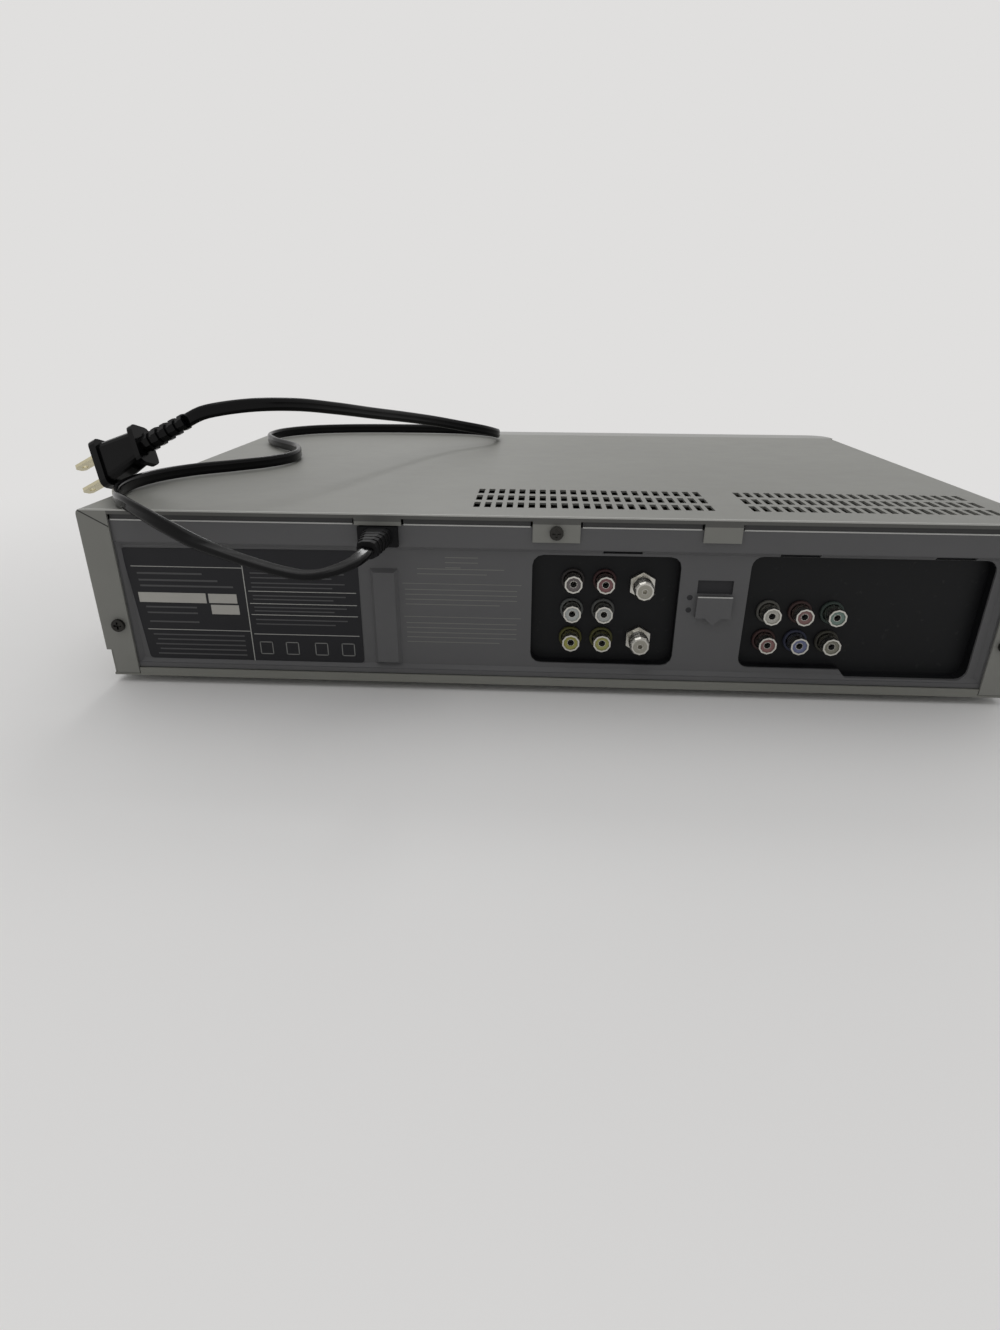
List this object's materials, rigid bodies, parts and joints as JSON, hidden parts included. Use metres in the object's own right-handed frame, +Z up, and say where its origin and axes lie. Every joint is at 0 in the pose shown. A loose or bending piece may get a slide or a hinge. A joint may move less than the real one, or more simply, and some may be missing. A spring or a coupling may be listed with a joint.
{
  "type": "dvd vcr combo player",
  "caption": "Low grey steel disc player and cassette recorder with a jack field at the rear, working tray and cassette decks, and its mains lead laid on the cover.",
  "frame": {"origin": "centre of the rigid case's footprint, on the surface that its feet stand on", "axes": "+Z up, +X towards the left-hand side of someone facing the rear panel, -Y out of the front, where the tray and the cassette door are"},
  "size_m": [0.4616, 0.3369, 0.1284],
  "materials": {
    "cover_paint": "semi-matt grey paint",
    "panel_paint": "matt dark grey paint",
    "sheet_steel": "plain zinc-coated sheet",
    "bright_metal": "nickel plating, fairly bright",
    "blade_metal": "nickel plated brass, slightly warm",
    "drum_metal": "turned, fine lines",
    "front_plastic": "fine spark texture",
    "key_plastic": "fine spark texture",
    "jack_plastic": "black, slightly satin",
    "frame_plastic": "black moulding",
    "gear_plastic": "white, slippery",
    "window_plastic": "polished",
    "soft_rubber": "matt black",
    "cord_vinyl": "smooth black vinyl",
    "board": "pale brown laminate"
  },
  "bodies": {
    "case": {"bottom_chassis": "sheet_steel", "top_cover": "cover_paint", "rear_panel": "panel_paint", "front_bezel": "front_plastic", "display_window": "window_plastic", "foot_front_left": "soft_rubber", "foot_front_right": "soft_rubber", "foot_rear_left": "soft_rubber", "foot_rear_right": "soft_rubber", "cover_screw_left": "bright_metal", "cover_screw_right": "bright_metal", "cover_screw_centre": "bright_metal", "av_jack_block": "jack_plastic", "av_jack_shells": "bright_metal", "dvd_jack_block": "jack_plastic", "dvd_jack_shells": "bright_metal", "f_connector_in": "bright_metal", "f_connector_out": "bright_metal", "tuner_box": "sheet_steel", "strain_relief": "soft_rubber", "power_cord": "cord_vinyl", "plug_body": "cord_vinyl", "plug_blade_upper": "blade_metal", "plug_blade_lower": "blade_metal", "main_board": "board", "power_board": "board", "front_board": "board", "deck_plate": "sheet_steel", "drum_base": "drum_metal", "loading_motor": "sheet_steel", "loader_frame": "frame_plastic", "tray_belt": "soft_rubber", "tray_motor": "sheet_steel", "clamp_bridge": "sheet_steel"},
    "cassette_flap": {"cassette_door": "front_plastic"},
    "carriage": {"holder_carriage": "sheet_steel"},
    "holder": {"cassette_holder": "sheet_steel"},
    "drum": {"drum_head": "drum_metal"},
    "supply": {"supply_reel": "frame_plastic"},
    "take_up": {"take_up_reel": "frame_plastic"},
    "capstan_shaft": {"capstan": "drum_metal"},
    "pinch_lever": {"pinch_arm": "sheet_steel"},
    "pinch_wheel": {"pinch_roller": "soft_rubber"},
    "tray": {"disc_tray": "frame_plastic", "tray_front": "front_plastic"},
    "tray_gear": {"drive_gear": "gear_plastic"},
    "belt_pulley": {"pulley_gear": "gear_plastic"},
    "motor_wheel": {"motor_pulley": "gear_plastic"},
    "traverse": {"traverse_plate": "sheet_steel"},
    "spindle": {"turntable": "frame_plastic"},
    "pickup": {"pickup_sled": "drum_metal"},
    "clamp": {"clamp_puck": "frame_plastic"},
    "stop_key": {"stop_button": "key_plastic"},
    "forward_key": {"forward_button": "key_plastic"},
    "play_key": {"play_button": "key_plastic"},
    "rewind_key": {"rewind_button": "key_plastic"},
    "eject_key": {"eject_button": "key_plastic"},
    "power_key": {"power_button": "key_plastic"},
    "open_close_key": {"open_close_button": "key_plastic"}
  },
  "joints": [
    {"name": "cassette_door_hinge", "type": "hinge", "parent": "case", "child": "cassette_flap", "pos_m": [-0.105, -0.14205, 0.0754], "axis": [1, 0, 0], "range_deg": [0, 80], "stiffness_Nm_per_rad": 0.006, "springref_deg": -20.05},
    {"name": "carriage_slide", "type": "slide", "parent": "case", "child": "carriage", "axis": [0, 1, 0], "range_m": [0, 0.03]},
    {"name": "holder_lift", "type": "slide", "parent": "carriage", "child": "holder", "axis": [0, 0, -1], "range_m": [0, 0.016]},
    {"name": "drum_spin", "type": "hinge", "parent": "case", "child": "drum", "pos_m": [-0.105, 0.05335, 0.0242], "axis": [0, -0.0872, 0.9962], "continuous": true},
    {"name": "supply_spin", "type": "hinge", "parent": "case", "child": "supply", "pos_m": [-0.151, -0.05465, 0.0215], "axis": [0, 0, 1], "continuous": true},
    {"name": "take_up_spin", "type": "hinge", "parent": "case", "child": "take_up", "pos_m": [-0.059, -0.05465, 0.0215], "axis": [0, 0, 1], "continuous": true},
    {"name": "capstan_spin", "type": "hinge", "parent": "case", "child": "capstan_shaft", "pos_m": [-0.065, 0.02135, 0.02], "axis": [0, 0, 1], "continuous": true},
    {"name": "pinch_swing", "type": "hinge", "parent": "case", "child": "pinch_lever", "pos_m": [-0.039, 0.03735, 0.027], "axis": [0, 0, -1], "range_deg": [0, 20], "stiffness_Nm_per_rad": 0.01, "springref_deg": -11.46},
    {"name": "pinch_spin", "type": "hinge", "parent": "pinch_lever", "child": "pinch_wheel", "pos_m": [-0.04996, 0.016, 0.03], "axis": [0, 0, 1], "continuous": true},
    {"name": "tray_slide", "type": "slide", "parent": "case", "child": "tray", "axis": [0, -1, 0], "range_m": [0, 0.135]},
    {"name": "tray_gear_spin", "type": "hinge", "parent": "case", "child": "tray_gear", "pos_m": [0.072, -0.11265, 0.04], "axis": [0, 0, 1], "range_deg": [-10, 790]},
    {"name": "belt_pulley_spin", "type": "hinge", "parent": "case", "child": "belt_pulley", "pos_m": [0.09638, -0.11265, 0.04], "axis": [0, 0, 1], "range_deg": [-1990, 10]},
    {"name": "motor_wheel_spin", "type": "hinge", "parent": "case", "child": "motor_wheel", "pos_m": [0.142, -0.11265, 0.044], "axis": [0, 0, 1], "range_deg": [-6600, 10]},
    {"name": "traverse_lift", "type": "hinge", "parent": "case", "child": "traverse", "pos_m": [0.11, 0.03535, 0.0384], "axis": [-1, 0, 0], "range_deg": [0, 5]},
    {"name": "spindle_spin", "type": "hinge", "parent": "traverse", "child": "spindle", "pos_m": [0.11, -0.07365, 0.047], "axis": [0, 0, 1], "continuous": true},
    {"name": "pickup_slide", "type": "slide", "parent": "traverse", "child": "pickup", "axis": [0, 1, 0], "range_m": [0, 0.034]},
    {"name": "clamp_spin", "type": "hinge", "parent": "case", "child": "clamp", "pos_m": [0.11, -0.07365, 0.062], "axis": [0, 0, 1], "continuous": true},
    {"name": "stop_press", "type": "slide", "parent": "case", "child": "stop_key", "axis": [0, 1, 0], "range_m": [0, 0.001], "stiffness_N_per_m": 400},
    {"name": "forward_press", "type": "slide", "parent": "case", "child": "forward_key", "axis": [0, 1, 0], "range_m": [0, 0.001], "stiffness_N_per_m": 400},
    {"name": "play_press", "type": "slide", "parent": "case", "child": "play_key", "axis": [0, 1, 0], "range_m": [0, 0.001], "stiffness_N_per_m": 400},
    {"name": "rewind_press", "type": "slide", "parent": "case", "child": "rewind_key", "axis": [0, 1, 0], "range_m": [0, 0.001], "stiffness_N_per_m": 400},
    {"name": "eject_press", "type": "slide", "parent": "case", "child": "eject_key", "axis": [0, 1, 0], "range_m": [0, 0.001], "stiffness_N_per_m": 400},
    {"name": "power_press", "type": "slide", "parent": "case", "child": "power_key", "axis": [0, 1, 0], "range_m": [0, 0.001], "stiffness_N_per_m": 400},
    {"name": "open_close_press", "type": "slide", "parent": "case", "child": "open_close_key", "axis": [0, 1, 0], "range_m": [0, 0.001], "stiffness_N_per_m": 400}
  ],
  "couplings": [
    {"joint": "tray_gear_spin", "follows": "tray_slide", "rad_per_m": 100},
    {"joint": "belt_pulley_spin", "follows": "tray_slide", "rad_per_m": -254.55},
    {"joint": "motor_wheel_spin", "follows": "tray_slide", "rad_per_m": -841.96}
  ]
}
